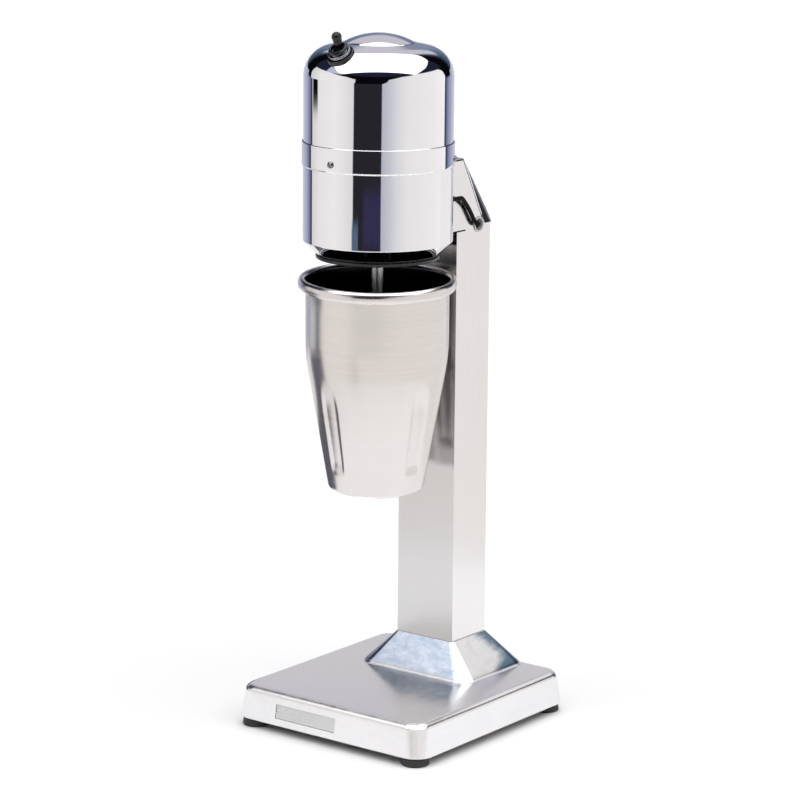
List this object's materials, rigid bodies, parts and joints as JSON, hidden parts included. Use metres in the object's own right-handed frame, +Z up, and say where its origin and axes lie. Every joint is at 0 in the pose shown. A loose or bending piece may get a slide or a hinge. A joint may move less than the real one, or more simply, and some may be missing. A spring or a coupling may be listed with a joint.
{
  "type": "milkshake mixer",
  "caption": "Single-spindle drink mixer: domed motor head on a rectangular column and cast base, with a toggle switch and a steel cup hung under the spindle.",
  "frame": {"origin": "on the ground at the centre of the base", "axes": "+Z up, -Y towards the front with the badge and the switch, +X to the right seen from the front"},
  "size_m": [0.1654, 0.1772, 0.4941],
  "materials": {
    "chrome": "polished chrome plate",
    "dark_chrome": "dark nickel plate",
    "cast_aluminium": "cast, polished sides and brushed top",
    "satin_aluminium": "satin drawn tube",
    "satin_steel": "satin spun stainless steel",
    "steel": "bright stainless steel",
    "dark_steel": "dark painted sheet",
    "zinc": "zinc-plated fastener",
    "rubber": "black moulded rubber",
    "black_plastic": "black moulded plastic",
    "badge": "blank satin plate",
    "lamination": "stacked steel sheet",
    "copper": "enamelled copper wire",
    "brass": "plain brass",
    "carbon": "pressed carbon"
  },
  "bodies": {
    "stand": {"dome_cap": "chrome", "motor_casing": "chrome", "head_cover": "chrome", "switch_nut": "dark_chrome", "switch_bushing": "dark_chrome", "base_casting": "cast_aluminium", "head_block": "cast_aluminium", "lower_bearing_bridge": "cast_aluminium", "upper_bearing_bridge": "cast_aluminium", "column_tube": "satin_aluminium", "cup_hanger": "steel", "lower_bearing": "steel", "upper_bearing": "steel", "base_cover_plate": "dark_steel", "foot_screw_front_left": "zinc", "foot_screw_front_right": "zinc", "foot_screw_rear_left": "zinc", "foot_screw_rear_right": "zinc", "column_anchor": "zinc", "column_bolt_front": "zinc", "column_bolt_rear": "zinc", "hanger_screw_upper": "zinc", "hanger_screw_lower": "zinc", "mount_bolt_upper": "zinc", "mount_bolt_lower": "zinc", "cover_screw": "zinc", "casing_screw_front": "zinc", "casing_screw_right": "zinc", "casing_screw_left": "zinc", "motor_bolt_left": "zinc", "motor_bolt_right": "zinc", "foot_front_left": "rubber", "foot_front_right": "rubber", "foot_rear_left": "rubber", "foot_rear_right": "rubber", "cup_rest_pad": "rubber", "lead_grommet_casing": "rubber", "lead_grommet_column": "rubber", "motor_lead": "rubber", "switch_gasket": "rubber", "switch_boot": "rubber", "cable_gland": "black_plastic", "splash_plate": "black_plastic", "switch_body": "black_plastic", "badge_plate": "badge", "stator_core": "lamination", "field_coil_left": "copper", "field_coil_right": "copper", "brush_holder_left": "brass", "brush_holder_right": "brass", "carbon_brush_left": "carbon", "carbon_brush_right": "carbon"},
    "spindle_set": {"spindle": "steel", "rotor_core": "lamination", "commutator": "copper", "cooling_fan": "black_plastic", "agitator_disc": "steel", "agitator_nut": "steel"},
    "switch_lever": {"toggle_lever": "black_plastic"},
    "cup": {"cup": "satin_steel"}
  },
  "joints": [
    {"name": "spindle_spin", "type": "hinge", "parent": "stand", "child": "spindle_set", "pos_m": [0, -0.0321, 0.3], "axis": [0, 0, 1], "continuous": true},
    {"name": "toggle_throw", "type": "hinge", "parent": "stand", "child": "switch_lever", "pos_m": [0, -0.07357, 0.47794], "axis": [1, 0, 0], "range_deg": [0, 28]},
    {"name": "cup_lift", "type": "slide", "parent": "stand", "child": "cup", "axis": [0, 0, 1], "range_m": [0, 0.018]}
  ]
}
